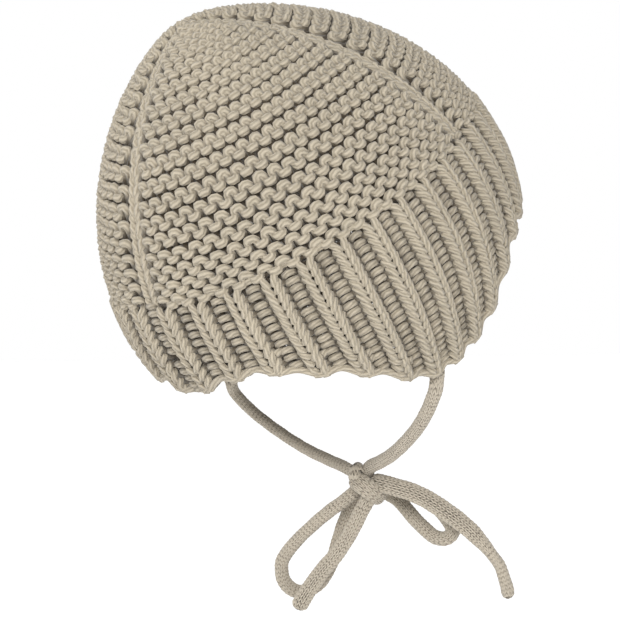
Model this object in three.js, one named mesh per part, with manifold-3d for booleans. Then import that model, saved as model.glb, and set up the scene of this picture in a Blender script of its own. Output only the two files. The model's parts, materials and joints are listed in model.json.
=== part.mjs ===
// Knitted baby bonnet: a garter-stitch crown of three gores, a deep ribbed band that grows into
// rounded ear corners, and two knitted cords tied in a bow under the chin.
// Millimetres, +X to the wearer's face, +Y to the wearer's left, +Z up.
// The origin is the head seat: the highest point of the hollow, where the crown rests on the head.

import * as THREE from 'three';
import { mergeVertices } from 'three/addons/utils/BufferGeometryUtils.js';
import Module from 'manifold-3d';

// Driving dimensions of the dome, taken over the outside of the knitting
const CROWN_TILT = 34;        // degrees that the crown's axis leans back from upright
const FRONT_REACH = 86.5;     // from the axis to the widest line at the forehead
const BACK_REACH = 71;        // from the axis to the widest line at the back
const HALF_WIDTH = 75;        // from the axis to the widest line over each ear
const CROWN_HEIGHT = 94.4;    // from the widest line up to the apex, along the axis
const CROWN_ROUND = 1.345;    // power of the cosine that closes the crown
const UNDER_ROUND = 1.55;     // power of the cosine that draws the ear corners in
const WALL = 4.4;             // thickness of the knitting
const BORDER_RISE = 9.8;      // degrees above the widest line where the ribs meet the crown
const SEAM_GAP = 0.3;         // clearance kept between neighbouring pieces
const HEAD_SEAT = new THREE.Vector3(-9, 0, 82.6);

// Gores of the crown, counted round from the centre back: over the right ear, front, over the left
// span: share of the girth, ribs: ribs below it, open: how much its back ribs are spread
const GORES = [
  { span: 35 / 108, ribs: 11, open: 0.3, from_back: true },
  { span: 38 / 108, ribs: 12, open: 0, from_back: true },
  { span: 35 / 108, ribs: 11, open: 0.3, from_back: false },
];
const CREASE_DEPTH = 0.9;     // how far the lines between the gores lie in
const RIB_RELIEF = 1.4;       // from the bottom of a furrow to the top of a rib
const RIM_SCALLOP = 1.6;      // how far each rib reaches past the furrows at the edge

// Edge of the band: turn is degrees from the centre back, rise is degrees from the widest line
const RIM = [
  { turn: 0, rise: -10.5 },
  { turn: 15, rise: -7.8 },
  { turn: 30, rise: -8 },
  { turn: 39, rise: -11.3 },
  { turn: 50, rise: -15 },
  { turn: 58, rise: -19.4 },
  { turn: 66, rise: -24.6 },
  { turn: 74, rise: -28.4 },
  { turn: 81, rise: -29.5 },
  { turn: 89, rise: -29 },
  { turn: 97, rise: -27.5 },
  { turn: 106, rise: -24 },
  { turn: 113, rise: -19.6 },
  { turn: 120, rise: -16 },
  { turn: 130, rise: -14.3 },
  { turn: 150, rise: -13.5 },
  { turn: 180, rise: -13 },
];

// Knitted cords
const CORD_DIAMETER = 5.6;
const CORD_SIDES = 8;
const CORD_STEP = 6.2;        // length of one straight stretch of a cord's tube
const RIGHT_TIE_TURN = 78;    // where the right tie leaves the rim, degrees from the centre back
const LEFT_TIE_TURN = 292;    // where the left tie leaves the rim
const TIE_LEAD = 3.2;         // straight length with which a tie leaves the rim
const KNOT = { x: 36.7, y: 0, z: -170.2, half_x: 6.2, half_y: 6.2, half_z: 7.2 };

// Routes of the cords, from their first to their last point
const ROUTES = {
  tie_right: [
    { x: 24.9, y: -55.4, z: -133.7 },
    { x: 25.2, y: -53.3, z: -137.2 },
    { x: 25.8, y: -49.5, z: -141.8 },
    { x: 26.9, y: -43.4, z: -147.2 },
    { x: 28.4, y: -34.6, z: -152.8 },
    { x: 30.7, y: -22.5, z: -158.5 },
    { x: 32.7, y: -12.5, z: -161.7 },
    { x: 33.8, y: -4.7, z: -164.2 },
    { x: 35.9, y: 0, z: -168.9 },
  ],
  tie_left: [
    { x: 15.5, y: 57.2, z: -136.5 },
    { x: 18, y: 55.8, z: -139.9 },
    { x: 20.8, y: 53.1, z: -143.7 },
    { x: 24.1, y: 48.2, z: -148.2 },
    { x: 28, y: 40.9, z: -153.4 },
    { x: 31.1, y: 30.8, z: -158.4 },
    { x: 32.8, y: 18.4, z: -162.2 },
    { x: 33.6, y: 8.6, z: -164.8 },
    { x: 34.4, y: 3.3, z: -167.1 },
    { x: 35.8, y: 0, z: -170.3 },
  ],
  bow_loop_right: [
    { x: 37.6, y: 0.5, z: -170.1 },
    { x: 41.7, y: -4, z: -171.2 },
    { x: 45.7, y: -8.5, z: -172.4 },
    { x: 49.6, y: -13, z: -174.8 },
    { x: 52.8, y: -16.6, z: -177.1 },
    { x: 55.6, y: -19.6, z: -180.2 },
    { x: 57.7, y: -21.6, z: -184.1 },
    { x: 59.1, y: -22.3, z: -187.6 },
    { x: 57.8, y: -19.9, z: -190.3 },
    { x: 55.7, y: -16.4, z: -190.2 },
    { x: 54, y: -13.2, z: -187.8 },
    { x: 52.6, y: -10.5, z: -185.3 },
    { x: 50.6, y: -6.8, z: -181.1 },
    { x: 49.3, y: -3.2, z: -177.3 },
    { x: 47.3, y: -0.1, z: -174.9 },
    { x: 40, y: 2, z: -172 },
  ],
  bow_loop_left: [
    { x: 36.5, y: 0.3, z: -170.8 },
    { x: 33.2, y: 1.5, z: -172.5 },
    { x: 29.7, y: 5.1, z: -176.4 },
    { x: 26.1, y: 10.4, z: -180.8 },
    { x: 21.8, y: 17.8, z: -187.7 },
    { x: 18.6, y: 23.7, z: -194.1 },
    { x: 16.9, y: 27.3, z: -199.3 },
    { x: 17.1, y: 28.3, z: -203 },
    { x: 18, y: 28.5, z: -206.6 },
    { x: 20.7, y: 27.4, z: -210.3 },
    { x: 24.2, y: 25.2, z: -211.6 },
    { x: 27.8, y: 23, z: -210 },
    { x: 30.4, y: 20.7, z: -207 },
    { x: 32.4, y: 19, z: -202.5 },
    { x: 33.7, y: 17.5, z: -198.1 },
    { x: 34.6, y: 16, z: -192.8 },
    { x: 35.5, y: 14.5, z: -187.5 },
    { x: 36.6, y: 12, z: -181.4 },
    { x: 37, y: 7.8, z: -175.6 },
    { x: 36.8, y: 1.9, z: -170.9 },
  ],
  tie_end_right: [
    { x: 36.4, y: -1.2, z: -169.6 },
    { x: 36.6, y: -8.2, z: -169.7 },
    { x: 38.9, y: -13.1, z: -170.9 },
    { x: 42.6, y: -17.9, z: -172.6 },
    { x: 46.1, y: -21.6, z: -174.8 },
    { x: 50.3, y: -26.3, z: -178.6 },
    { x: 54.4, y: -30, z: -182.5 },
    { x: 58, y: -33.2, z: -186.5 },
    { x: 60.6, y: -36, z: -190.4 },
    { x: 63.2, y: -38.7, z: -194.8 },
    { x: 65.4, y: -40.8, z: -199.1 },
    { x: 66.7, y: -41.9, z: -203.8 },
    { x: 67.5, y: -42.6, z: -207.9 },
    { x: 67.6, y: -42.9, z: -211 },
  ],
  tie_end_left: [
    { x: 36.5, y: -2.2, z: -170.3 },
    { x: 34, y: -4, z: -174.9 },
    { x: 31.8, y: -2.1, z: -180.4 },
    { x: 30, y: 1.1, z: -187.1 },
    { x: 27.8, y: 5.1, z: -193.9 },
    { x: 26, y: 8.5, z: -198.5 },
    { x: 24.5, y: 11, z: -201.5 },
    { x: 22.6, y: 14.1, z: -206.1 },
    { x: 20.7, y: 16.9, z: -210.7 },
    { x: 19.3, y: 18.9, z: -214.7 },
    { x: 18.9, y: 19.9, z: -217.1 },
  ],
};

// How finely the shapes are faceted
const SECTORS_PER_RIB = 4;
const SECTORS_PER_GORE_RIB = 2;
const BAND_STEPS = 6;
const CROWN_STEPS = 15;
const KNOT_SECTORS = 14;
const KNOT_RINGS = 10;
const ARC_DIVISIONS = 1440;
const TURN_STEP = 0.02;       // radians between the points that give the surface's direction
const RISE_STEP = 0.005;
const POLE_RISE = 89;         // degrees above which the surface faces along the axis
const MERGE_DISTANCE = 1e-5;

const RAD = Math.PI / 180;
const tilt = CROWN_TILT * RAD;
const AXIS_UP = new THREE.Vector3(-Math.sin(tilt), 0, Math.cos(tilt));
const AXIS_FRONT = new THREE.Vector3(Math.cos(tilt), 0, Math.sin(tilt));
const AXIS_LEFT = new THREE.Vector3(0, 1, 0);

const wasm = await Module();
wasm.setup();

// Point on the outside of the knitting, turn and rise in radians
function outerPoint(turn, rise) {
  const round = rise > 0 ? CROWN_ROUND : UNDER_ROUND;
  const girth = Math.max(Math.cos(rise), 0) ** round;
  const toBack = Math.cos(turn);
  const reach = (FRONT_REACH + BACK_REACH) / 2 - ((FRONT_REACH - BACK_REACH) / 2) * toBack;
  return new THREE.Vector3()
    .addScaledVector(AXIS_FRONT, -girth * toBack * reach)
    .addScaledVector(AXIS_LEFT, -girth * Math.sin(turn) * HALF_WIDTH)
    .addScaledVector(AXIS_UP, CROWN_HEIGHT * Math.sin(rise))
    .sub(HEAD_SEAT);
}

// Direction straight out of the knitting
function outward(turn, rise) {
  if (rise > POLE_RISE * RAD) {
    return AXIS_UP.clone();
  }
  const along = outerPoint(turn + TURN_STEP, rise).sub(outerPoint(turn - TURN_STEP, rise));
  const up = outerPoint(turn, rise + RISE_STEP).sub(outerPoint(turn, rise - RISE_STEP));
  return along.cross(up).normalize();
}

// Point at a depth under the outside of the knitting
function wallPoint(turn, rise, depth) {
  return outerPoint(turn, rise).addScaledVector(outward(turn, rise), -depth);
}

// The widest line as a curve, so that ribs can be spaced by the length of knitting between them
class Girth extends THREE.Curve {
  getPoint(t, target = new THREE.Vector3()) {
    return target.copy(outerPoint(2 * Math.PI * t, 0));
  }
}
const girthLine = new Girth();
girthLine.arcLengthDivisions = ARC_DIVISIONS;

// Turn in radians of a place inside a gore, share 0 at its first edge and 1 at its last
function turnInGore(gore, start, share) {
  const back = gore.from_back ? share : 1 - share;
  const spread = back + gore.open * back * (1 - back) ** 2;
  const along = gore.from_back ? spread : 1 - spread;
  return 2 * Math.PI * girthLine.getUtoTmapping(start + gore.span * along);
}

// Every sector line round the bonnet: its turn, its place in the ribs and in the gore
function sectorLines(perRib) {
  const lines = [];
  let start = 0;
  for (const gore of GORES) {
    const count = gore.ribs * perRib;
    for (let i = 0; i < count; i += 1) {
      lines.push({ turn: turnInGore(gore, start, i / count), rib: i / perRib, edge: i === 0 });
    }
    start += gore.span;
  }
  return lines;
}

// Smooth curve through a table's rows
function tableValue(rows, from, to, at) {
  let i = 0;
  while (i < rows.length - 2 && rows[i + 1][from] < at) {
    i += 1;
  }
  const a = rows[i];
  const b = rows[i + 1];
  const before = rows[Math.max(i - 1, 0)];
  const after = rows[Math.min(i + 2, rows.length - 1)];
  const width = b[from] - a[from];
  const slopeA = ((b[to] - before[to]) / (b[from] - before[from])) * width;
  const slopeB = ((after[to] - a[to]) / (after[from] - a[from])) * width;
  const s = (at - a[from]) / width;
  const h = s * s * (3 - 2 * s);
  return a[to] * (1 - h) + b[to] * h + slopeA * s * (1 - s) ** 2 - slopeB * s * s * (1 - s);
}

// Rise of the rim in radians, the same on both sides of the centre back
function rimRise(turn) {
  const degrees = ((turn / RAD) % 360 + 360) % 360;
  return tableValue(RIM, 'turn', 'rise', Math.min(degrees, 360 - degrees)) * RAD;
}

// A surface that is closed round its sectors, with each ring of points joined to the next
// With poles, the first and the last ring are one point each; without, the last ring meets the first
function ringSurface(sectors, rings, pointAt, poles) {
  const vertices = [];
  const index = [];
  const idOf = (s, r) => {
    if (!poles) {
      return (r % rings) * sectors + (s % sectors);
    }
    if (r === 0 || r === rings - 1) {
      return r === 0 ? 0 : 1;
    }
    return 2 + (r - 1) * sectors + (s % sectors);
  };
  const addFace = (a, b, c) => {
    if (a !== b && b !== c && a !== c) {
      index.push(a, b, c);
    }
  };
  if (poles) {
    vertices.push(pointAt(0, 0), pointAt(0, rings - 1));
  }
  const firstRing = poles ? 1 : 0;
  const endRing = poles ? rings - 1 : rings;
  for (let r = firstRing; r < endRing; r += 1) {
    for (let s = 0; s < sectors; s += 1) {
      vertices.push(pointAt(s, r));
    }
  }
  for (let r = 0; r < endRing; r += 1) {
    for (let s = 0; s < sectors; s += 1) {
      addFace(idOf(s, r), idOf(s + 1, r + 1), idOf(s + 1, r));
      addFace(idOf(s, r), idOf(s, r + 1), idOf(s + 1, r + 1));
    }
  }
  const geometry = new THREE.BufferGeometry().setFromPoints(vertices);
  geometry.setIndex(index);
  geometry.computeVertexNormals();
  return geometry;
}

// Garter-stitch crown: outer wall from the apex down, then the inner wall back up
function crownGeometry() {
  const lines = sectorLines(SECTORS_PER_GORE_RIB);
  const low = BORDER_RISE * RAD + SEAM_GAP / CROWN_HEIGHT / 2;
  const rings = [];
  for (let k = 0; k <= CROWN_STEPS; k += 1) {
    rings.push({ down: k / CROWN_STEPS, depth: 0 });
  }
  for (let k = CROWN_STEPS; k >= 0; k -= 1) {
    rings.push({ down: k / CROWN_STEPS, depth: WALL });
  }
  return ringSurface(lines.length, rings.length, (s, r) => {
    const rise = Math.PI / 2 + (low - Math.PI / 2) * rings[r].down;
    const creased = lines[s].edge && rings[r].depth === 0;
    const crease = creased ? CREASE_DEPTH * Math.cos(rise) : 0;
    return wallPoint(lines[s].turn, rise, rings[r].depth + crease);
  }, true);
}

// Ribbed band: outer wall from the crown down to the rim, then the inner wall back up
function bandGeometry() {
  const lines = sectorLines(SECTORS_PER_RIB);
  const high = BORDER_RISE * RAD - SEAM_GAP / CROWN_HEIGHT / 2;
  const rings = [];
  for (let k = 0; k <= BAND_STEPS; k += 1) {
    rings.push({ down: k / BAND_STEPS, depth: 0 });
  }
  for (let k = BAND_STEPS; k >= 0; k -= 1) {
    rings.push({ down: k / BAND_STEPS, depth: WALL });
  }
  return ringSurface(lines.length, rings.length, (s, r) => {
    const { turn, rib } = lines[s];
    const wave = -Math.cos(2 * Math.PI * rib) / 2;
    const low = rimRise(turn) - (RIM_SCALLOP * wave) / CROWN_HEIGHT;
    const rise = high + (low - high) * rings[r].down;
    return wallPoint(turn, rise, rings[r].depth - RIB_RELIEF * wave);
  }, false);
}

// Middle of the rim, the way out of it square to its edge, and a little further that way
function rimExit(turn) {
  const edgePoint = (at) => wallPoint(at, rimRise(at) - RIM_SCALLOP / 2 / CROWN_HEIGHT, WALL / 2);
  const along = edgePoint(turn + TURN_STEP).sub(edgePoint(turn - TURN_STEP));
  const way = along.cross(outward(turn, rimRise(turn))).normalize();
  const start = edgePoint(turn).addScaledVector(way, SEAM_GAP);
  return [start, start.clone().addScaledVector(way, TIE_LEAD)];
}

function toSolid(geometry) {
  const bare = geometry.clone();
  bare.deleteAttribute('normal');
  bare.deleteAttribute('uv');
  const merged = mergeVertices(bare, MERGE_DISTANCE);
  return new wasm.Manifold(new wasm.Mesh({
    numProp: 3,
    vertProperties: new Float32Array(merged.attributes.position.array),
    triVerts: new Uint32Array(merged.index.array),
  }));
}

function toGeometry(solid) {
  const mesh = solid.getMesh();
  const geometry = new THREE.BufferGeometry();
  geometry.setAttribute('position', new THREE.BufferAttribute(mesh.vertProperties, 3));
  geometry.setIndex(new THREE.BufferAttribute(mesh.triVerts, 1));
  geometry.computeVertexNormals();
  return geometry;
}

// The knot as a rounded lump, grown by a clearance where a cord is cut by it
function knotGeometry(clearance) {
  const lump = new THREE.SphereGeometry(1, KNOT_SECTORS, KNOT_RINGS);
  lump.scale(KNOT.half_x + clearance, KNOT.half_y + clearance, KNOT.half_z + clearance);
  return lump.translate(KNOT.x, KNOT.y, KNOT.z);
}

// Round cord along a smooth curve, cut away where the knot is
function cordGeometry(points) {
  const path = new THREE.CatmullRomCurve3(points, false, 'centripetal');
  const corners = [];
  for (let k = 0; k < CORD_SIDES; k += 1) {
    const angle = (2 * Math.PI * k) / CORD_SIDES;
    corners.push(new THREE.Vector2(Math.cos(angle), Math.sin(angle)).multiplyScalar(CORD_DIAMETER / 2));
  }
  const section = new THREE.Shape(corners);
  const steps = Math.round(path.getLength() / CORD_STEP);
  const tube = new THREE.ExtrudeGeometry(section, { steps, extrudePath: path, bevelEnabled: false });
  return toGeometry(toSolid(tube).subtract(toSolid(knotGeometry(SEAM_GAP))));
}

// Points of a cord's route, which a tie starts at the rim
function routePoints(name) {
  const points = ROUTES[name].map((row) => new THREE.Vector3(row.x, row.y, row.z));
  const rimTurn = { tie_right: RIGHT_TIE_TURN, tie_left: LEFT_TIE_TURN }[name];
  return rimTurn ? [...rimExit(rimTurn * RAD), ...points] : points;
}

const bonnet = new THREE.Group();
const knit = { color: 0xa79c8a, roughness: 0.95 };
const cord = { color: 0x9d9484, roughness: 0.9 };

function addPiece(name, geometry, look) {
  const material = new THREE.MeshStandardMaterial({ ...look, metalness: 0 });
  const mesh = new THREE.Mesh(geometry, material);
  mesh.name = name;
  bonnet.add(mesh);
}

addPiece('crown', crownGeometry(), knit);
addPiece('rib_band', bandGeometry(), knit);
addPiece('bow_knot', knotGeometry(0), cord);
for (const name of Object.keys(ROUTES)) {
  addPiece(name, cordGeometry(routePoints(name)), cord);
}

export default bonnet;
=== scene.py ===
# %% [markdown]
# # A knitted baby bonnet, stitch by stitch
# The real bonnet is one thick cotton yarn, looped row by row: a ribbed band round the face and
# neck, a garter-stitch crown in three gores, and two thin knitted cords tied in a bow.
# The solids of the frame hold its size and shape. The knitting could be painted on them as a bump
# pattern, but then its outline would be smooth. So every stitch is real geometry here, because the
# loops and the dark holes between them are what makes knitting look like knitting.

import json
import math

import bpy
import numpy as np
from mathutils import Matrix, Vector

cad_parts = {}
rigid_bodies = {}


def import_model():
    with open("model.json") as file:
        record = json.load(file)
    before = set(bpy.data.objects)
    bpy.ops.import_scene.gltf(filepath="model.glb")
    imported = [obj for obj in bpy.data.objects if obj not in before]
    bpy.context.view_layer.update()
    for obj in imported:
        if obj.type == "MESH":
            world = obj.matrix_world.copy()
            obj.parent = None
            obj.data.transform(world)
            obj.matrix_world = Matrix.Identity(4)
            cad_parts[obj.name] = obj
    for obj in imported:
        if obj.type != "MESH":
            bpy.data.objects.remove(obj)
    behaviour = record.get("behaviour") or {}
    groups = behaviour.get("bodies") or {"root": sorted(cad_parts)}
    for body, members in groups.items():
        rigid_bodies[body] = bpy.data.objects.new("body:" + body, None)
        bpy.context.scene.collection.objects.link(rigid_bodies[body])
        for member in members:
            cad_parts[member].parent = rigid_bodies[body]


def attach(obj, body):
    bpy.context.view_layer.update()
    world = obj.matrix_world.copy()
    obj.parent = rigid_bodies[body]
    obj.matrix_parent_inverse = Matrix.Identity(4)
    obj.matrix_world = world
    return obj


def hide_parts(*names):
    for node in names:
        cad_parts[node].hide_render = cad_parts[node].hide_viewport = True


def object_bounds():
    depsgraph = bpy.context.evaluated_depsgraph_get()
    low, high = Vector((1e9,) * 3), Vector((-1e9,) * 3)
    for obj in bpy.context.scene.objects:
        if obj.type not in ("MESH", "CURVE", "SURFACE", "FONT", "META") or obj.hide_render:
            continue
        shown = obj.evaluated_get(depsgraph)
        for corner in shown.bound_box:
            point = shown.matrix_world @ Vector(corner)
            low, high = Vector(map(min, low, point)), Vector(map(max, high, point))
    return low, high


for leftover in list(bpy.data.objects):
    bpy.data.objects.remove(leftover)
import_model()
cad_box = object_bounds()
print("CAD box", [[round(c, 4) for c in corner] for corner in cad_box])

# %% [markdown]
# ## The camera
# The bonnet is seen from its right side, almost level, from three quarters of a metre away. A long
# lens keeps its sides from looking stretched. The camera could be moved by hand until the outline
# fits, but numbers can be repeated. It aims at the middle of the picture, so it needs no lens shift.

# %% Camera
CAMERA_TARGET = Vector((0.01057, -0.00057, -0.10598))
CAMERA_DISTANCE = 0.77365
CAMERA_AZIMUTH = math.radians(-35.59)
CAMERA_RISE = math.radians(-1.108)
CAMERA_ROLL = math.radians(-0.458)
LENS_MM = 123.4
SENSOR_MM = 36

camera_data = bpy.data.cameras.new("photo_camera")
camera_data.lens = LENS_MM
camera_data.sensor_width = SENSOR_MM
camera = bpy.data.objects.new("photo_camera", camera_data)
bpy.context.scene.collection.objects.link(camera)
bpy.context.scene.camera = camera

away = Vector((math.sin(CAMERA_AZIMUTH) * math.cos(CAMERA_RISE),
               -math.cos(CAMERA_AZIMUTH) * math.cos(CAMERA_RISE),
               math.sin(CAMERA_RISE)))
camera_turn = away.to_track_quat("Z", "Y").to_matrix().to_4x4()
camera.matrix_world = (Matrix.Translation(CAMERA_TARGET + away * CAMERA_DISTANCE)
                       @ camera_turn @ Matrix.Rotation(CAMERA_ROLL, 4, "Z"))
print("camera at", [round(c, 4) for c in camera.matrix_world.translation])

# %% [markdown]
# ## The shape that the knitting lies on
# The bonnet is a dome whose axis leans back. The stitches could be shrinkwrapped onto the solids,
# but a formula is exact and has no facets. A place on the dome is a turn round the axis, counted
# from the centre back, and a rise from the widest line. These are the frame's own sizes, in metres,
# so the stitches lie where the solids are.

# %% Dome sizes
CROWN_TILT = math.radians(34)
FRONT_REACH = 0.0865
BACK_REACH = 0.071
HALF_WIDTH = 0.075
CROWN_HEIGHT = 0.0944
CROWN_ROUND = 1.345
UNDER_ROUND = 1.55
BORDER_RISE = 9.8                  # degrees, where the ribs meet the crown
RIB_RELIEF = 0.0014
HEAD_SEAT = np.array((-0.009, 0, 0.0826))
AXIS_UP = np.array((-math.sin(CROWN_TILT), 0, math.cos(CROWN_TILT)))
AXIS_FRONT = np.array((math.cos(CROWN_TILT), 0, math.sin(CROWN_TILT)))
AXIS_LEFT = np.array((0.0, 1.0, 0.0))

# %% Points on the dome
TURN_STEP = 0.02                   # radians between the points that give the surface's direction
RISE_STEP = 0.005
POLE_RISE = math.radians(89)


def outer_point(turn, rise):
    """Point on the outside of the knitting, angles in radians."""
    rounding = np.where(rise > 0, CROWN_ROUND, UNDER_ROUND)
    girth = np.maximum(np.cos(rise), 0) ** rounding
    reach = (FRONT_REACH + BACK_REACH) / 2 - (FRONT_REACH - BACK_REACH) / 2 * np.cos(turn)
    return ((-girth * np.cos(turn) * reach)[..., None] * AXIS_FRONT
            + (-girth * np.sin(turn) * HALF_WIDTH)[..., None] * AXIS_LEFT
            + (CROWN_HEIGHT * np.sin(rise))[..., None] * AXIS_UP) - HEAD_SEAT


def outward(turn, rise):
    """Direction straight out of the knitting."""
    low = np.minimum(rise, POLE_RISE)
    along = outer_point(turn + TURN_STEP, low) - outer_point(turn - TURN_STEP, low)
    up = outer_point(turn, low + RISE_STEP) - outer_point(turn, low - RISE_STEP)
    way = np.cross(along, up)
    return way / np.linalg.norm(way, axis=-1, keepdims=True)


def wall_point(turn, rise, depth):
    """Point at a depth under the outside of the knitting."""
    return outer_point(turn, rise) - outward(turn, rise) * depth[..., None]


# %% [markdown]
# ## Gores and the rim
# A gore is one of the wedges that make a flat fabric into a dome. Three of them make up the crown,
# with eleven, twelve and eleven ribs below them. The ribs near the centre back are spread a little
# wider. The rim is short at the nape, drops to a rounded corner under each ear, and runs level over
# the forehead. It has no simple formula, so a table of rises is joined by a smooth curve.

# %% Gores
GORE_SPAN = np.array((35, 38, 35)) / 108
GORE_START = np.array((0, 35, 73)) / 108
GORE_OPEN = np.array((0.3, 0.0, 0.3))
GORE_RIBS = (11, 12, 11)
LEFT_GORE = 2

girth_turns = np.linspace(0, 2 * np.pi, 2881)
girth_points = outer_point(girth_turns, np.zeros_like(girth_turns))
girth_steps = np.linalg.norm(np.diff(girth_points, axis=0), axis=1)
girth_share = np.concatenate(([0], np.cumsum(girth_steps))) / girth_steps.sum()
print("girth over the outside, mm", round(girth_steps.sum() * 1000, 1))


def gore_turn(gore, share):
    """Turn of a place inside a gore, share 0 at its first edge and 1 at its last."""
    back = np.where(gore == LEFT_GORE, 1 - share, share)
    spread = back + GORE_OPEN[gore] * back * (1 - back) ** 2
    along = GORE_START[gore] + GORE_SPAN[gore] * np.where(gore == LEFT_GORE, 1 - spread, spread)
    whole = np.floor(along)
    return np.interp(along - whole, girth_share, girth_turns) + 2 * np.pi * whole


# %% Rim
RIM_TURN = np.array((0, 15, 30, 39, 50, 58, 66, 74, 81, 89, 97, 106, 113, 120, 130, 150, 180))
RIM_RISE = np.array((-10.5, -7.8, -8, -11.3, -15, -19.4, -24.6, -28.4, -29.5, -29, -27.5, -24,
                     -19.6, -16, -14.3, -13.5, -13))


def rim_rise(turn):
    """Rise of the rim in degrees, the same on both sides of the centre back."""
    degrees = np.degrees(turn) % 360
    at = np.minimum(degrees, 360 - degrees)
    i = np.clip(np.searchsorted(RIM_TURN, at, side="right") - 1, 0, len(RIM_TURN) - 2)
    before = np.maximum(i - 1, 0)
    after = np.minimum(i + 2, len(RIM_TURN) - 1)
    width = RIM_TURN[i + 1] - RIM_TURN[i]
    start_slope = (RIM_RISE[i + 1] - RIM_RISE[before]) / (RIM_TURN[i + 1] - RIM_TURN[before]) * width
    end_slope = (RIM_RISE[after] - RIM_RISE[i]) / (RIM_TURN[after] - RIM_TURN[i]) * width
    s = (at - RIM_TURN[i]) / width
    h = s * s * (3 - 2 * s)
    return (RIM_RISE[i] * (1 - h) + RIM_RISE[i + 1] * h
            + start_slope * s * (1 - s) ** 2 - end_slope * s * s * (1 - s))


# %% [markdown]
# ## Cord routes
# Each tie leaves a rounded corner of the band, hangs under the chin and meets the other in the
# bow. A simulated cord would hang well, but it wouldn't tie this bow. So the points are the frame's
# own routes, in metres. A smooth curve runs through them, and the knitted tube is wound round that
# curve later.

# %% Routes of the cords
RIGHT_TIE_TURN = math.radians(78)
LEFT_TIE_TURN = math.radians(292)
WALL = 0.0044
SEAM_GAP = 0.0003
TIE_LEAD = 0.0032
RIM_SCALLOP = 0.0016

ROUTES = {
    "tie_right": [
        (0.0249, -0.0554, -0.1337), (0.0252, -0.0533, -0.1372), (0.0258, -0.0495, -0.1418),
        (0.0269, -0.0434, -0.1472), (0.0284, -0.0346, -0.1528), (0.0307, -0.0225, -0.1585),
        (0.0327, -0.0125, -0.1617), (0.0338, -0.0047, -0.1642), (0.0359, 0, -0.1689)],
    "tie_left": [
        (0.0155, 0.0572, -0.1365), (0.018, 0.0558, -0.1399), (0.0208, 0.0531, -0.1437),
        (0.0241, 0.0482, -0.1482), (0.028, 0.0409, -0.1534), (0.0311, 0.0308, -0.1584),
        (0.0328, 0.0184, -0.1622), (0.0336, 0.0086, -0.1648), (0.0344, 0.0033, -0.1671),
        (0.0358, 0, -0.1703)],
    "bow_loop_right": [
        (0.0376, 0.0005, -0.1701), (0.0417, -0.004, -0.1712), (0.0457, -0.0085, -0.1724),
        (0.0496, -0.013, -0.1748), (0.0528, -0.0166, -0.1771), (0.0556, -0.0196, -0.1802),
        (0.0577, -0.0216, -0.1841), (0.0591, -0.0223, -0.1876), (0.0578, -0.0199, -0.1903),
        (0.0557, -0.0164, -0.1902), (0.054, -0.0132, -0.1878), (0.0526, -0.0105, -0.1853),
        (0.0506, -0.0068, -0.1811), (0.0493, -0.0032, -0.1773), (0.0473, -0.0001, -0.1749),
        (0.04, 0.002, -0.172)],
    "bow_loop_left": [
        (0.0365, 0.0003, -0.1708), (0.0332, 0.0015, -0.1725), (0.0297, 0.0051, -0.1764),
        (0.0261, 0.0104, -0.1808), (0.0218, 0.0178, -0.1877), (0.0186, 0.0237, -0.1941),
        (0.0169, 0.0273, -0.1993), (0.0171, 0.0283, -0.203), (0.018, 0.0285, -0.2066),
        (0.0207, 0.0274, -0.2103), (0.0242, 0.0252, -0.2116), (0.0278, 0.023, -0.21),
        (0.0304, 0.0207, -0.207), (0.0324, 0.019, -0.2025), (0.0337, 0.0175, -0.1981),
        (0.0346, 0.016, -0.1928), (0.0355, 0.0145, -0.1875), (0.0366, 0.012, -0.1814),
        (0.037, 0.0078, -0.1756), (0.0368, 0.0019, -0.1709)],
    "tie_end_right": [
        (0.0364, -0.0012, -0.1696), (0.0366, -0.0082, -0.1697), (0.0389, -0.0131, -0.1709),
        (0.0426, -0.0179, -0.1726), (0.0461, -0.0216, -0.1748), (0.0503, -0.0263, -0.1786),
        (0.0544, -0.03, -0.1825), (0.058, -0.0332, -0.1865), (0.0606, -0.036, -0.1904),
        (0.0632, -0.0387, -0.1948), (0.0654, -0.0408, -0.1991), (0.0667, -0.0419, -0.2038),
        (0.0675, -0.0426, -0.2079), (0.0676, -0.0429, -0.211)],
    "tie_end_left": [
        (0.0365, -0.0022, -0.1703), (0.034, -0.004, -0.1749), (0.0318, -0.0021, -0.1804),
        (0.03, 0.0011, -0.1871), (0.0278, 0.0051, -0.1939), (0.026, 0.0085, -0.1985),
        (0.0245, 0.011, -0.2015), (0.0226, 0.0141, -0.2061), (0.0207, 0.0169, -0.2107),
        (0.0193, 0.0189, -0.2147), (0.0189, 0.0199, -0.2171)],
}


def rim_exit(turn):
    """Middle of the rim, and the point a short lead straight out of its edge."""
    turns = np.array((turn - TURN_STEP, turn + TURN_STEP, turn))
    rises = np.radians(rim_rise(turns)) - RIM_SCALLOP / 2 / CROWN_HEIGHT
    edge = wall_point(turns, rises, np.full(3, WALL / 2))
    way = np.cross(edge[1] - edge[0], outward(turns, np.radians(rim_rise(turns)))[2])
    way /= np.linalg.norm(way)
    start = edge[2] + way * SEAM_GAP
    return [start, start + way * TIE_LEAD]


ROUTES["tie_right"] = rim_exit(RIGHT_TIE_TURN) + ROUTES["tie_right"]
ROUTES["tie_left"] = rim_exit(LEFT_TIE_TURN) + ROUTES["tie_left"]

# %% Smooth curve through a route
CURVE_STEP = 0.0005
STEPS_BETWEEN = 24                 # fine points between two points of a route


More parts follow.
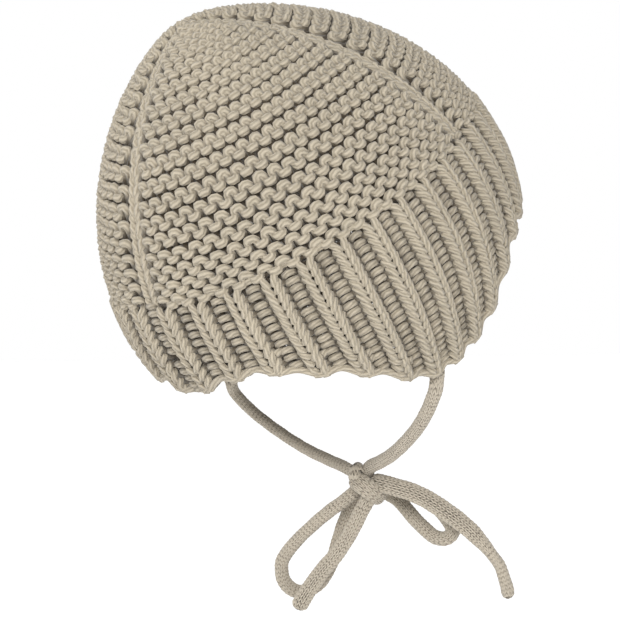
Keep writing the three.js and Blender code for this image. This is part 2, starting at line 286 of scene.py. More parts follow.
def smooth_route(points):
    """Evenly spaced points on a centripetal Catmull-Rom curve through the route."""
    p = np.array(points, float)
    p = np.vstack((2 * p[0] - p[1], p, 2 * p[-1] - p[-2]))
    fine = []
    for p0, p1, p2, p3 in zip(p[:-3], p[1:-2], p[2:-1], p[3:]):
        d0, d1, d2 = (np.sqrt(np.linalg.norm(b - a)) for a, b in ((p0, p1), (p1, p2), (p2, p3)))
        t1 = ((p1 - p0) / d0 - (p2 - p0) / (d0 + d1) + (p2 - p1) / d1) * d1
        t2 = ((p2 - p1) / d1 - (p3 - p1) / (d1 + d2) + (p3 - p2) / d2) * d1
        t = np.linspace(0, 1, STEPS_BETWEEN, endpoint=False)[:, None]
        h = t * t * (3 - 2 * t)
        fine.append(p1 * (1 - h) + p2 * h + t1 * t * (1 - t) ** 2 - t2 * t * t * (1 - t))
    fine = np.vstack(fine + [p[-2:-1]])
    length = np.concatenate(([0], np.cumsum(np.linalg.norm(np.diff(fine, axis=0), axis=1))))
    at = np.linspace(0, length[-1], max(2, round(length[-1] / CURVE_STEP)))
    return np.stack([np.interp(at, length, fine[:, k]) for k in range(3)], axis=1), length[-1]


curves = {name: smooth_route(points) for name, points in ROUTES.items()}
for name, (_, length) in curves.items():
    print(name, "route, mm", round(length * 1000, 1))

# %% [markdown]
# ## One stitch
# A stitch is a loop of yarn: it rises from between two stitches, goes over a head and comes down
# again, narrow at its foot and wide at its head. Seen from the side it also weaves in and out,
# because each loop is drawn through the one below. A knit stitch is drawn to the front, a purl
# stitch to the back. One stitch could be modelled and repeated, but then its ends would have to be
# matched to each neighbour. A short formula gives all three ways at once, so a whole course is one
# wavy line. Small random differences keep it from looking made by machine.

# %% The yarn's way through a course
SAMPLES = 12                       # points on one stitch
LOOP_COURSES = 1.9                 # height of a loop, in courses
KNIT, PURL = 1.0, -1.0
HAND_PLACE = 0.03                  # how much a loop is off its place, in stitches
HAND_LEAN = 0.08                   # how much its width varies
HAND_DEPTH = 0.00012               # and how far it lies in or out, in metres
rng = np.random.default_rng(33)


def hook(samples):
    """Places along one stitch, from one foot over the head to the other."""
    return -np.pi + 2 * np.pi * np.arange(samples) / samples


def uneven(count, size):
    """Small differences between hand-made stitches."""
    return rng.normal(0, size, count)


def yarn_loops(face, above, lean, reach, leg, closed, samples=SAMPLES, narrow=0.0,
               flat=0.0):
    """One course: across in stitch widths, up from 0 at the foot to 1 at the head, out in metres.

    face and above say knit or purl for this stitch and for the one drawn through it. lean widens
    the head and narrows the foot, reach is how far the yarn weaves in and out, and leg says how
    much of that the legs have. narrow draws the legs to the middle, and flat straightens the head
    and the foot.
    """
    pull = face * reach
    before = np.roll(pull, 1)
    after = np.roll(pull, -1)
    if not closed:
        before[0] = pull[0]
        after[-1] = pull[-1]
    count = len(face)
    t = hook(samples)[None, :]
    foot = np.where(t < 0, -((before + pull) / 2)[:, None], -((after + pull) / 2)[:, None])
    head = -(above * reach)[:, None]
    middle = (pull * leg)[:, None]
    out = (((head + foot) / 2 + middle) / 2 + (head - foot) / 2 * np.cos(t)
           + ((head + foot) / 2 - middle) / 2 * np.cos(2 * t))
    at_head = np.clip(np.cos(t), 0, 1) ** 2
    at_foot = np.clip(-np.cos(t), 0, 1) ** 2
    foot_up = uneven(count + 1, HAND_PLACE)
    foot_across = uneven(count + 1, HAND_PLACE)
    if closed:
        foot_up[-1] = foot_up[0]
        foot_across[-1] = foot_across[0]
    shift_up = np.where(t < 0, foot_up[:-1, None], foot_up[1:, None])
    shift_across = np.where(t < 0, foot_across[:-1, None], foot_across[1:, None])
    lean = (lean * (1 + uneven(count, HAND_LEAN)))[:, None]
    legs_in = np.broadcast_to(narrow, count)[:, None] * np.sin(t)
    across = (t / (2 * np.pi) + lean * np.sin(2 * t) - legs_in
              + at_head * uneven(count, HAND_PLACE)[:, None] + at_foot * shift_across)
    flat = np.broadcast_to(flat, count)[:, None]
    bend = (1 + flat) * np.cos(t) - flat * np.cos(3 * t)
    up = (1 + bend) / 2 + at_head * uneven(count, HAND_PLACE)[:, None] + at_foot * shift_up
    out = out + at_head * uneven(count, HAND_DEPTH)[:, None]
    return across, up, out


# %% [markdown]
# ## The crown
# Garter stitch is knitted one course, purled the next, so that ridges of little arcs stand out
# with dark holes between them. Where the gores meet, one column stays knit on every course and
# swallows a stitch from each side, which shapes the dome. The ridges lie three degrees apart at the
# border and further apart higher up. Each course is laid as a whole ring, as it is knitted, so the
# loops of neighbouring gores meet without a seam.

# %% Courses of the crown
FIRST_RIDGE = 11.1                 # degrees, rise of the lowest ridge
RIDGE_STEP = 3.0
RIDGE_GROWTH = 0.09
EVEN_RIDGES = 8                    # ridges before the gores begin to narrow
UPPER_STEP = 4.4
RIDGES = 18
CROWN_MIDDLE = 0.0029              # depth of the middle of the garter stitch
GARTER_REACH = 0.00145             # how far its yarn weaves in and out
GARTER_LEG = (0.45, -0.2)          # purl, knit: how soon the legs leave the ridge
GARTER_LEAN = 0.08
GARTER_FLAT = 0.13                 # how straight the tops and bottoms of the loops are
COLUMN_REACH = 0.0013              # the same for the columns between the gores
COLUMN_LEG = 0.95
COLUMN_LEAN = 0.2
GORE_CREASE = 0.0019               # how much deeper the knitting lies next to a column
GARTER_LOOP = 2.08                 # height of a garter loop, in courses
ROW_DIP = 1.0                      # degrees that the courses dip next to the gore columns
DIP_COURSES = 12                   # courses over which the dip grows from nothing
SIDE_STITCHES = 22                 # stitches across a side gore at the border
FRONT_STITCHES = 24
APEX_RISE = 89.2


def ridge_rise(ridge):
    """Rise in degrees of a ridge, or of a place between ridges."""
    low = np.minimum(ridge, EVEN_RIDGES)
    return (FIRST_RIDGE + RIDGE_STEP * low + RIDGE_GROWTH * low * (low - 1)
            + UPPER_STEP * np.maximum(ridge - EVEN_RIDGES, 0))


def gore_wales(course):
    """Stitches across each gore on a course."""
    ridge = max(math.ceil(course / 2) - 1, 0)
    side = SIDE_STITCHES - 2 * max(ridge - EVEN_RIDGES, 0)
    front = FRONT_STITCHES if ridge < EVEN_RIDGES else side
    return np.maximum((side, front, side), 1)


def crown_course(course):
    """Line of the yarn along one course of the crown."""
    wales, next_wales = gore_wales(course), gore_wales(course + 1)
    gore = np.repeat(np.arange(3), wales)
    place = np.concatenate([np.arange(n) for n in wales])
    column = place == 0
    here, above = (KNIT, PURL) if course % 2 == 0 else (PURL, KNIT)
    across, up, out = yarn_loops(
        face=np.where(column, KNIT, here), above=np.where(column, KNIT, above),
        lean=np.where(column, COLUMN_LEAN, GARTER_LEAN),
        reach=np.where(column, COLUMN_REACH, GARTER_REACH),
        leg=np.where(column, COLUMN_LEG, GARTER_LEG[int(here == KNIT)]),
        closed=True, flat=np.where(column, 0.0, GARTER_FLAT))
    count = wales[gore][:, None]
    now = count + (next_wales[gore][:, None] - count) * up
    share = 0.5 + (place[:, None] - count / 2 + across) / now
    share = np.where(column[:, None], across / now, share)
    edge = np.abs(2 * share - 1)
    height = np.where(column, LOOP_COURSES, GARTER_LOOP)[:, None]
    ridge = (course - 1) / 2 + height * up / 2
    rise = ridge_rise(ridge) - ROW_DIP * edge ** 3 * min(max(course, 0) / DIP_COURSES, 1)
    crease = GORE_CREASE * np.exp(-((1 - edge) * count / 2) ** 2)
    turn = gore_turn(gore[:, None], share)
    rise = np.radians(np.minimum(rise, APEX_RISE))
    points = wall_point(turn, rise, CROWN_MIDDLE + crease - out).reshape(-1, 3)
    # How far out the yarn lies, which the material turns into painted shade where it lies deep.
    return points, True, (out / GARTER_REACH).reshape(-1)


LAST_COURSE = 2 * RIDGES + 2
crown_lines = [crown_course(course) for course in range(LAST_COURSE + 1)]
print("crown courses", len(crown_lines), "stitches",
      sum(len(line[0]) for line in crown_lines) // SAMPLES)

# %% [markdown]
# ## The ribbed band
# Below the crown the knitting changes to knit one, purl one. A knit column is a chain of upright
# V shapes that stands proud, a purl column is a furrow of small bumps. The rows could be squeezed
# together where the band is short, but real stitches keep their size. So the rows run level round
# the head and stop where the band ends, apart from the last three, which follow the rim round the
# ear corners.

# %% Rows of the band
ROW_PITCH = 1.72                   # degrees from one row of the band to the next
NAPE_PITCH = 0.2                   # and how much more at the centre back
RIM_ROWS = 3                       # rows that follow the rim
BAND_MIDDLE = 0.0024
RIB_REACH = (0.0012, 0.0015)       # purl, knit
RIB_LEG = (0.8, 0.95)
RIB_LEAN = (0.19, 0.235)
RIB_NARROW = (0.03, 0.0)           # how much nearer the middle the legs lie
RIB_FLAT = (0.1, 0.0)              # how straight the heads and feet are
INNER_DEPTH = 0.0039               # strands that close the inside between the columns
INNER_STEPS = 12
FURROW_DEPTH = 0.0006              # how much deeper the furrows lie than the solid's
EDGE_HANG = 0.0008                 # how far the edge hangs under the rim
EDGE_WAVE = 0.0012                 # and how much it differs from furrow to rib
# Ribs count further forward than furrows, so the furrows get more painted shade.
RIB_FORWARD = 0.6                  # how much further forward a rib counts than a furrow

band_wales = np.array([2 * ribs for ribs in GORE_RIBS])
band_gore = np.repeat(np.arange(3), band_wales)
band_place = np.concatenate([np.arange(n) for n in band_wales])
band_face = np.where(band_place % 2 == 1, KNIT, PURL)
band_turn = gore_turn(band_gore, band_place / band_wales[band_gore])
band_rim = rim_rise(band_turn)
band_depth = BORDER_RISE - band_rim
band_pitch = ROW_PITCH + NAPE_PITCH * np.maximum(np.cos(band_turn), 0) ** 2
band_rows = np.round(band_depth / band_pitch).astype(int)
band_pitch = band_depth / band_rows
print("band rows, nape to corner", band_rows.min(), band_rows.max())


def band_course(base, wales, at_edge=False):
    """Line of the yarn along one row, over a run of wales whose feet lie at the base rises."""
    closed = len(wales) == len(band_face)
    face = band_face[wales]
    lean, reach, leg, narrow, flat = (
        np.where(face == KNIT, pair[1], pair[0])
        for pair in (RIB_LEAN, RIB_REACH, RIB_LEG, RIB_NARROW, RIB_FLAT))
    across, up, out = yarn_loops(face=face, above=face, lean=lean, reach=reach, leg=leg,
                                 closed=closed, narrow=narrow, flat=flat)
    t = hook(SAMPLES)[None, :]
    before = (base + np.roll(base, 1)) / 2
    after = (base + np.roll(base, -1)) / 2
    if not closed:
        before[0] = base[0]
        after[-1] = base[-1]
    foot = np.where(t < 0, before[:, None], after[:, None])
    level = base[:, None] + (foot - base[:, None]) * (t / np.pi) ** 2
    rise = level + LOOP_COURSES * band_pitch[wales][:, None] * up
    place = band_place[wales][:, None] + across
    share = place / band_wales[band_gore[wales]][:, None]
    wave = -np.cos(np.pi * place) / 2
    turn = gore_turn(band_gore[wales][:, None], share)
    if at_edge:
        rise = np.maximum(rise, rim_rise(turn) - np.degrees(edge_drop(wave)))
    depth = BAND_MIDDLE - out - RIB_RELIEF * wave + FURROW_DEPTH * (0.5 - wave)
    points = wall_point(turn, np.radians(rise), depth).reshape(-1, 3)
    # How far forward each point counts, which the material turns into painted shade; furrows count
    # further back.
    return points, closed, (out / RIB_REACH[1] + wave * RIB_FORWARD).reshape(-1)


def edge_drop(wave):
    """How far the edge hangs under the rim, in radians of rise."""
    return (EDGE_HANG + EDGE_WAVE * wave) / CROWN_HEIGHT


def runs(mask):
    """Runs of wales round the band where a row exists, each as a list that may cross the start."""
    if mask.all():
        return [np.arange(len(mask))]
    first = int(np.argmin(mask))
    order = (np.arange(len(mask)) + first) % len(mask)
    groups = []
    for wale in order:
        if not mask[wale]:
            groups.append([])
        else:
            groups[-1].append(wale)
    return [np.array(g) for g in groups if len(g) > 1]


# %% Lay the rows of the band
band_lines = []                    # each line: its points, whether it closes, how far forward
rim_drop = np.degrees(edge_drop(band_face / 2))
all_wales = np.arange(len(band_face))
band_lines.append(band_course(band_rim - rim_drop - band_pitch, all_wales, at_edge=True))
for row in range(RIM_ROWS):
    fade = 1 - row / RIM_ROWS
    base = band_rim + row * band_pitch - rim_drop * fade
    band_lines.append(band_course(base, all_wales))
for row in range(band_rows.max() - RIM_ROWS):
    for wales in runs(band_rows - RIM_ROWS > row):
        base = BORDER_RISE - (row + 1) * band_pitch[wales]
        band_lines.append(band_course(base, wales))
print("band lines", len(band_lines), "stitches",
      sum(len(line[0]) for line in band_lines) // SAMPLES)

# %% Strands inside the wall
# A straight strand between each two columns closes the gaps, so that no light shines through.
# The strands carry the full painted shade colour, standing for the shadow between the columns.
inner_lines = []
inner_rise = np.linspace(0, 1, INNER_STEPS)
for gore, place in zip(band_gore, band_place):
    turn = np.full(INNER_STEPS, gore_turn(np.array(gore), (place + 0.5) / band_wales[gore]))
    low = rim_rise(turn) + 1.0
    rise = np.radians(low + (BORDER_RISE + 1.0 - low) * inner_rise)
    inner_lines.append((wall_point(turn, rise, np.full(INNER_STEPS, INNER_DEPTH)), False,
                        np.full(INNER_STEPS, -1.0)))

# %% [markdown]
# ## The cast-on edge
# The rim is where the knitting was started. Two strands lie along it, one on the outside and one
# on the inside, and dip a little under each knit column, which gives the rim its small scallops.

# %% Cast-on strands
EDGE_SAMPLES = 10
EDGE_RISE = 0.0005                 # how far the strands lie above the edge's lowest line
EDGE_DEPTHS = (0.0013, 0.0036)     # outer and inner strand

edge_place = np.repeat(band_place, EDGE_SAMPLES) + np.tile(np.arange(EDGE_SAMPLES) / EDGE_SAMPLES,
                                                           len(band_place))
edge_gore = np.repeat(band_gore, EDGE_SAMPLES)
edge_turn = gore_turn(edge_gore, edge_place / band_wales[edge_gore])
edge_wave = -np.cos(np.pi * edge_place) / 2
edge_rise = np.radians(rim_rise(edge_turn)) - edge_drop(edge_wave) + EDGE_RISE / CROWN_HEIGHT
edge_lines = [(wall_point(edge_turn, edge_rise, depth - RIB_RELIEF * edge_wave), True,
               np.full(len(edge_turn), 0.6)) for depth in EDGE_DEPTHS]

# %% [markdown]
# ## From a line to yarn
# Yarn has the same section all along, so it isn't modelled by hand. Geometry Nodes turn a bare line
# of edges into yarn: a round profile is swept along it. A bevelled curve would do this too, but it
# couldn't keep values for the material. The tree keeps two on every point, the length along the
# yarn and the direction round it, and makes the yarn a little thick and thin, as spun yarn is.

# %% The yarn tree


def new_node(tree, kind, **values):
    node = tree.nodes.new(kind)
    for key, value in values.items():
        if key in node.inputs:
            node.inputs[key].default_value = value
        else:
            setattr(node, key, value)
    return node


def yarn_tree():
    """Sweep a round yarn along the edges of a mesh."""
    tree = bpy.data.node_groups.new("Yarn along a line", "GeometryNodeTree")
    tree.interface.new_socket("Line", in_out="INPUT", socket_type="NodeSocketGeometry")
    for name, kind, value in (("Yarn Radius", "NodeSocketFloat", 0.00125),
                              ("Sides", "NodeSocketInt", 7),
                              ("Thick And Thin", "NodeSocketFloat", 0.05),
                              ("Seed", "NodeSocketFloat", 3.0),
                              ("Yarn", "NodeSocketMaterial", None)):
        socket = tree.interface.new_socket(name, in_out="INPUT", socket_type=kind)
        if value is not None:
            socket.default_value = value
    tree.interface.new_socket("Mesh", in_out="OUTPUT", socket_type="NodeSocketGeometry")
    start = tree.nodes.new("NodeGroupInput")
    end = tree.nodes.new("NodeGroupOutput")
    link = tree.links.new

    curve = new_node(tree, "GeometryNodeMeshToCurve")
    link(start.outputs["Line"], curve.inputs["Mesh"])

    spline = new_node(tree, "GeometryNodeSplineParameter")
    along = new_node(tree, "GeometryNodeStoreNamedAttribute", data_type="FLOAT", domain="POINT",
                     Name="along")
    link(curve.outputs["Curve"], along.inputs["Geometry"])
    link(spline.outputs["Length"], along.inputs["Value"])

    lumps = new_node(tree, "ShaderNodeTexNoise", noise_dimensions="4D", Scale=180.0, Detail=1.0)
    link(start.outputs["Seed"], lumps.inputs["W"])
    centred = new_node(tree, "ShaderNodeMath", operation="SUBTRACT")
    centred.inputs[1].default_value = 0.5
    link(lumps.outputs[0], centred.inputs[0])
    amount = new_node(tree, "ShaderNodeMath", operation="MULTIPLY_ADD")
    amount.inputs[2].default_value = 1.0
    link(centred.outputs[0], amount.inputs[0])
    link(start.outputs["Thick And Thin"], amount.inputs[1])
    width = new_node(tree, "ShaderNodeMath", operation="MULTIPLY")
    link(amount.outputs[0], width.inputs[0])
    link(start.outputs["Yarn Radius"], width.inputs[1])

    ring = new_node(tree, "GeometryNodeCurvePrimitiveCircle", mode="RADIUS", Radius=1.0)
    link(start.outputs["Sides"], ring.inputs["Resolution"])
    place = new_node(tree, "GeometryNodeInputPosition")
    around = new_node(tree, "GeometryNodeStoreNamedAttribute", data_type="FLOAT_VECTOR",
                      domain="POINT", Name="around")
    link(ring.outputs["Curve"], around.inputs["Geometry"])
    link(place.outputs["Position"], around.inputs["Value"])

    sweep = new_node(tree, "GeometryNodeCurveToMesh")
    sweep.inputs["Fill Caps"].default_value = True
    link(along.outputs["Geometry"], sweep.inputs["Curve"])
    link(around.outputs["Geometry"], sweep.inputs["Profile Curve"])
    link(width.outputs[0], sweep.inputs["Scale"])
    smooth = new_node(tree, "GeometryNodeSetShadeSmooth")
    link(sweep.outputs["Mesh"], smooth.inputs["Geometry"])
    real = new_node(tree, "GeometryNodeRealizeInstances")
    link(smooth.outputs["Geometry"], real.inputs["Geometry"])
    finish = new_node(tree, "GeometryNodeSetMaterial")
    link(real.outputs["Geometry"], finish.inputs["Geometry"])
    link(start.outputs["Yarn"], finish.inputs["Material"])
    link(finish.outputs["Geometry"], end.inputs["Mesh"])
    return tree


YARN_TREE = yarn_tree()

# %% Bake the yarn to plain meshes
THICK_THIN = 0.12                  # how much the thick yarn varies in width


def line_mesh(name, lines):
    """Mesh of edges only, a chain for each line; a line that closes joins its ends."""
    points = np.concatenate([p for p, _, _ in lines])
    edges = []
    first = 0
    for p, closed, _ in lines:
        ids = np.arange(first, first + len(p))
        pairs = np.stack((ids, np.roll(ids, -1)), axis=1)
        edges.append(pairs if closed else pairs[:-1])
        first += len(p)
    mesh = bpy.data.meshes.new(name)
    mesh.from_pydata(points.tolist(), np.concatenate(edges).tolist(), [])
    # How far out each point lies; the material paints shade where it lies deep.
    forward = mesh.attributes.new("forward", "FLOAT", "POINT")
    forward.data.foreach_set("value", np.concatenate([out for _, _, out in lines]))
    return mesh


def knit(name, lines, radius, sides, material, thick_thin=THICK_THIN):
    """Yarn swept along the lines, as a plain mesh object."""
    piece = bpy.data.objects.new(name, line_mesh(name, lines))
    bpy.context.scene.collection.objects.link(piece)
    modifier = piece.modifiers.new("yarn", "NODES")
    modifier.node_group = YARN_TREE
    values = {"Yarn Radius": radius, "Sides": sides, "Thick And Thin": thick_thin,
              "Yarn": material}
    for item in YARN_TREE.interface.items_tree:
        if item.item_type == "SOCKET" and item.in_out == "INPUT" and item.name in values:
            modifier[item.identifier] = values[item.name]
    depsgraph = bpy.context.evaluated_depsgraph_get()
    baked = bpy.data.meshes.new_from_object(piece.evaluated_get(depsgraph), depsgraph=depsgraph)
    piece.modifiers.remove(modifier)
    bare = piece.data
    piece.data = baked
    bpy.data.meshes.remove(bare)
    baked.name = name
    print(name, "triangles", sum(len(f.vertices) - 2 for f in baked.polygons))
    return piece


# %% [markdown]
# ## The yarn's finish
# The yarn is soft matt cotton, spun from fine strands that wind round it. The strands are too
# fine for geometry, so a shader group reads the two stored values, draws the winding strands as
# low bumps with painted shade in the grooves, and adds stray fibres and slow changes of tone.
# Yarn that lies deep gets painted shade, a darker colour for the shadow between the stitches,
# but only on the outside: the inside of the bonnet keeps the yarn's plain colour.

# %% Plied yarn group
WANDER_SCALE = 320.0               # how often a strand changes its place round the yarn, per metre
WANDER = 5.0                       # and how far
STRAND_SHAPE = 0.6                 # under 1 makes broad strands with narrow grooves
FIBRE_STRETCH = 260                # fibres per metre of yarn
FIBRE_SCALE = 4.0
FIBRE_DETAIL = 3.0
TONE_SCALE = 55.0                  # slow changes of tone over the piece
TONE_DETAIL = 3.0
TONE_RANGE = 0.22
TONE_LOW = 0.89
# The strands' share puts painted shade in the grooves between them; the fibres' share is random
# tone.
STRAND_GROOVE_SHADE = 0.55               # share of the strands, and of the fibres, in the colour
FIBRE_COLOUR = 0.6


def yarn_group():
    group = bpy.data.node_groups.new("Plied yarn", "ShaderNodeTree")
    for name, value in (("Strands", 4.0), ("Winding", 0.009), ("Strand Depth", 0.55),
                        ("Fibre Depth", 0.7), ("Shade Start", -0.4), ("Shade End", 0.65),
                        ("Inside Light", 0.0)):
        socket = group.interface.new_socket(name, in_out="INPUT", socket_type="NodeSocketFloat")
        socket.default_value = value
    for name in ("Light", "Fibre Tone And Groove Shade", "Painted Shade"):
        group.interface.new_socket(name, in_out="INPUT", socket_type="NodeSocketColor")
    group.interface.new_socket("Color", in_out="OUTPUT", socket_type="NodeSocketColor")
    group.interface.new_socket("Height", in_out="OUTPUT", socket_type="NodeSocketFloat")
    start = group.nodes.new("NodeGroupInput")
    end = group.nodes.new("NodeGroupOutput")
    link = group.links.new

    def maths(operation, first, second=None):
        node = group.nodes.new("ShaderNodeMath")
        node.operation = operation
        for socket, value in zip(node.inputs, (first, second)):
            if isinstance(value, (int, float)):
                socket.default_value = value
            elif value is not None:
                link(value, socket)
        return node.outputs[0]

    along = group.nodes.new("ShaderNodeAttribute")
    along.attribute_name = "along"
    around = group.nodes.new("ShaderNodeAttribute")
    around.attribute_name = "around"
    split = group.nodes.new("ShaderNodeSeparateXYZ")
    link(around.outputs["Vector"], split.inputs[0])
    angle = maths("ARCTAN2", split.outputs["Y"], split.outputs["X"])
    winding = maths("MULTIPLY", maths("DIVIDE", along.outputs["Fac"], start.outputs["Winding"]),
                    2 * math.pi)
    twisted = maths("ADD", angle, winding)
    wander = group.nodes.new("ShaderNodeTexNoise")
    wander.noise_dimensions = "1D"
    wander.inputs["Scale"].default_value = WANDER_SCALE
    wander.inputs["Detail"].default_value = 1.0
    link(along.outputs["Fac"], wander.inputs["W"])
    phase = maths("ADD", maths("MULTIPLY", twisted, start.outputs["Strands"]),
                  maths("MULTIPLY", wander.outputs[0], WANDER))
    wave = maths("ADD", maths("MULTIPLY", maths("COSINE", phase), 0.5), 0.5)
    strand = maths("POWER", wave, STRAND_SHAPE)

    streak = group.nodes.new("ShaderNodeCombineXYZ")
    link(maths("COSINE", twisted), streak.inputs["X"])
    link(maths("SINE", twisted), streak.inputs["Y"])
    link(maths("MULTIPLY", along.outputs["Fac"], FIBRE_STRETCH), streak.inputs["Z"])
    fibres = group.nodes.new("ShaderNodeTexNoise")
    fibres.inputs["Scale"].default_value = FIBRE_SCALE
    fibres.inputs["Detail"].default_value = FIBRE_DETAIL
    link(streak.outputs[0], fibres.inputs["Vector"])

    place = group.nodes.new("ShaderNodeTexCoord")
    tone = group.nodes.new("ShaderNodeTexNoise")
    tone.inputs["Scale"].default_value = TONE_SCALE
    tone.inputs["Detail"].default_value = TONE_DETAIL
    link(place.outputs["Object"], tone.inputs["Vector"])

    raised = maths("ADD", maths("MULTIPLY", strand, start.outputs["Strand Depth"]),
                   maths("MULTIPLY", fibres.outputs[0], start.outputs["Fibre Depth"]))
    # The strand pattern puts painted shade in the grooves between the strands; the fibres add random
    # tone.
    mix_by = maths("ADD", maths("MULTIPLY", strand, STRAND_GROOVE_SHADE),
                   maths("MULTIPLY", fibres.outputs[0], FIBRE_COLOUR))
    colour = group.nodes.new("ShaderNodeMix")
    colour.data_type = "RGBA"
    link(mix_by, colour.inputs["Factor"])
    link(start.outputs["Fibre Tone And Groove Shade"], colour.inputs["A"])
    link(start.outputs["Light"], colour.inputs["B"])
    # Painted shade: yarn that lies deep is mixed towards the painted shade colour.
    forward = group.nodes.new("ShaderNodeAttribute")
    forward.attribute_name = "forward"
    shade = group.nodes.new("ShaderNodeMapRange")
    shade.interpolation_type = "SMOOTHSTEP"
    link(forward.outputs["Fac"], shade.inputs["Value"])
    link(start.outputs["Shade Start"], shade.inputs["From Min"])
    link(start.outputs["Shade End"], shade.inputs["From Max"])
    # Yarn that faces the inside of the bonnet is lifted out of the painted shade by Inside Light.
    surface = group.nodes.new("ShaderNodeNewGeometry")
    from_middle = group.nodes.new("ShaderNodeVectorMath")
    from_middle.operation = "SUBTRACT"
    from_middle.inputs[1].default_value = -HEAD_SEAT
    link(place.outputs["Object"], from_middle.inputs[0])
    facing_out = group.nodes.new("ShaderNodeVectorMath")
    facing_out.operation = "DOT_PRODUCT"
    link(from_middle.outputs["Vector"], facing_out.inputs[0])
    link(surface.outputs["Normal"], facing_out.inputs[1])
    inside = maths("MULTIPLY", maths("LESS_THAN", facing_out.outputs["Value"], 0.0),
                   start.outputs["Inside Light"])
    lit = maths("MAXIMUM", shade.outputs["Result"], inside)
    shaded = group.nodes.new("ShaderNodeMix")
    shaded.data_type = "RGBA"
    link(lit, shaded.inputs["Factor"])
    link(start.outputs["Painted Shade"], shaded.inputs["A"])
    link(colour.outputs["Result"], shaded.inputs["B"])
    slow = group.nodes.new("ShaderNodeHueSaturation")
    link(shaded.outputs["Result"], slow.inputs["Color"])
    link(maths("ADD", maths("MULTIPLY", tone.outputs[0], TONE_RANGE), TONE_LOW),
         slow.inputs["Value"])
    link(slow.outputs["Color"], end.inputs["Color"])
    link(raised, end.inputs["Height"])
    return group


YARN_GROUP = yarn_group()

# %% Yarn materials
ROUGHNESS = 0.92                   # matt cotton
SPECULAR = 0.2
SHEEN = 0.2
SHEEN_ROUGHNESS = 0.6
RELIEF = 0.8                       # strength of the strands' bump


def yarn_material(name, light, fibre_tone_and_groove_shade, painted_shade, strands, winding, bump, inside_light=0.0):
    material = bpy.data.materials.new(name)
    material.use_nodes = True
    nodes, links = material.node_tree.nodes, material.node_tree.links
    shader = nodes["Principled BSDF"]
    shader.inputs["Roughness"].default_value = ROUGHNESS
    shader.inputs["Specular IOR Level"].default_value = SPECULAR
    shader.inputs["Sheen Weight"].default_value = SHEEN
    shader.inputs["Sheen Roughness"].default_value = SHEEN_ROUGHNESS
    plied = nodes.new("ShaderNodeGroup")
    plied.node_tree = YARN_GROUP
    plied.inputs["Strands"].default_value = strands
    plied.inputs["Winding"].default_value = winding
    plied.inputs["Inside Light"].default_value = inside_light
    plied.inputs["Light"].default_value = (*light, 1)
    plied.inputs["Fibre Tone And Groove Shade"].default_value = (*fibre_tone_and_groove_shade, 1)
    plied.inputs["Painted Shade"].default_value = (*painted_shade, 1)
    relief = nodes.new("ShaderNodeBump")
    relief.inputs["Strength"].default_value = RELIEF
    relief.inputs["Distance"].default_value = bump
    links.new(plied.outputs["Height"], relief.inputs["Height"])
    links.new(plied.outputs["Color"], shader.inputs["Base Color"])
    links.new(relief.outputs["Normal"], shader.inputs["Normal"])
    return material


# The darkest colour of each yarn is painted shade for yarn that lies deep between the stitches.
knit_yarn = yarn_material("knit_cotton", light=(0.475, 0.417, 0.32), fibre_tone_and_groove_shade=(0.2, 0.168, 0.12),
                          painted_shade=(0.05, 0.037, 0.022), strands=5, winding=0.03, bump=0.0008,
                          inside_light=0.85)
cord_yarn = yarn_material("cord_cotton", light=(0.49, 0.435, 0.352), fibre_tone_and_groove_shade=(0.35, 0.306, 0.242),
                          painted_shade=(0.07, 0.056, 0.038), strands=3, winding=0.004, bump=0.0001)
# The core's colours are painted shade: the shadow inside a knitted tube.
shade_core_yarn = yarn_material("cord_core_painted_shade", light=(0.13, 0.108, 0.08), fibre_tone_and_groove_shade=(0.1, 0.082, 0.06),
                          painted_shade=(0.1, 0.082, 0.06), strands=3, winding=0.004, bump=0.0001)

# %% Knit the crown and the band
YARN_RADIUS = 0.00153
RIB_YARN_RADIUS = 0.00131
YARN_SIDES = 7

CROWN_PARTS = {"crown_lower_courses": range(0, 12), "crown_middle_courses": range(12, 23),
               "crown_upper_courses": range(23, LAST_COURSE + 1)}
for name, courses in CROWN_PARTS.items():
    piece = knit(name, [crown_lines[c] for c in courses], YARN_RADIUS, YARN_SIDES, knit_yarn)
    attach(piece, "root")
    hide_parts("crown")

rings = [line for line in band_lines if line[1]]
corners = [line for line in band_lines if not line[1]]
BAND_PARTS = {"band_rows": rings, "ear_corner_rows": corners,
              "cast_on_edge": edge_lines + inner_lines}
for name, lines in BAND_PARTS.items():
    piece = knit(name, lines, RIB_YARN_RADIUS, YARN_SIDES, knit_yarn)
    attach(piece, "root")
    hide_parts("rib_band")

# %% [markdown]
# ## Knitted cords
# Each cord is a narrow tube of plain knitting, eleven stitches round, worked in one long spiral.
# A bump on a plain tube would look flat in the bow. So the same loop formula is wound round the
# route: the stitch number gives both the turn round the cord and the way along it. A dark plain
# core fills the tube, so that nothing shines through; its dark colour is painted shade, the
# shadow inside the tube.

# %% Flat and narrow stretches
# The cord is a flat tube, so it looks broad where it lies face on and narrow where it turns
# its edge. Each row gives widths at even places along a cord, as a share of its diameter.
CORD_WIDTHS = {
    "tie_right": (0.9, 0.86, 0.85, 0.85, 0.9),
    "tie_left": (0.78, 0.76, 0.74, 0.76, 0.78),
    "bow_loop_right": (1.0, 1.0, 0.95, 0.95, 0.95),
    "bow_loop_left": (0.9, 0.82, 0.95, 0.95, 0.9),
    "tie_end_right": (1.2, 1.2, 1.22, 1.24, 1.2, 1.1, 0.72, 0.76, 0.86),
    "tie_end_left": (1.0, 1.0, 1.0, 1.05, 1.1, 1.15),
}
FLAT_AREA = 0.9                    # width times thickness, as a share of the round cord's
FACING = Vector((away.x, away.y, 0)).normalized()

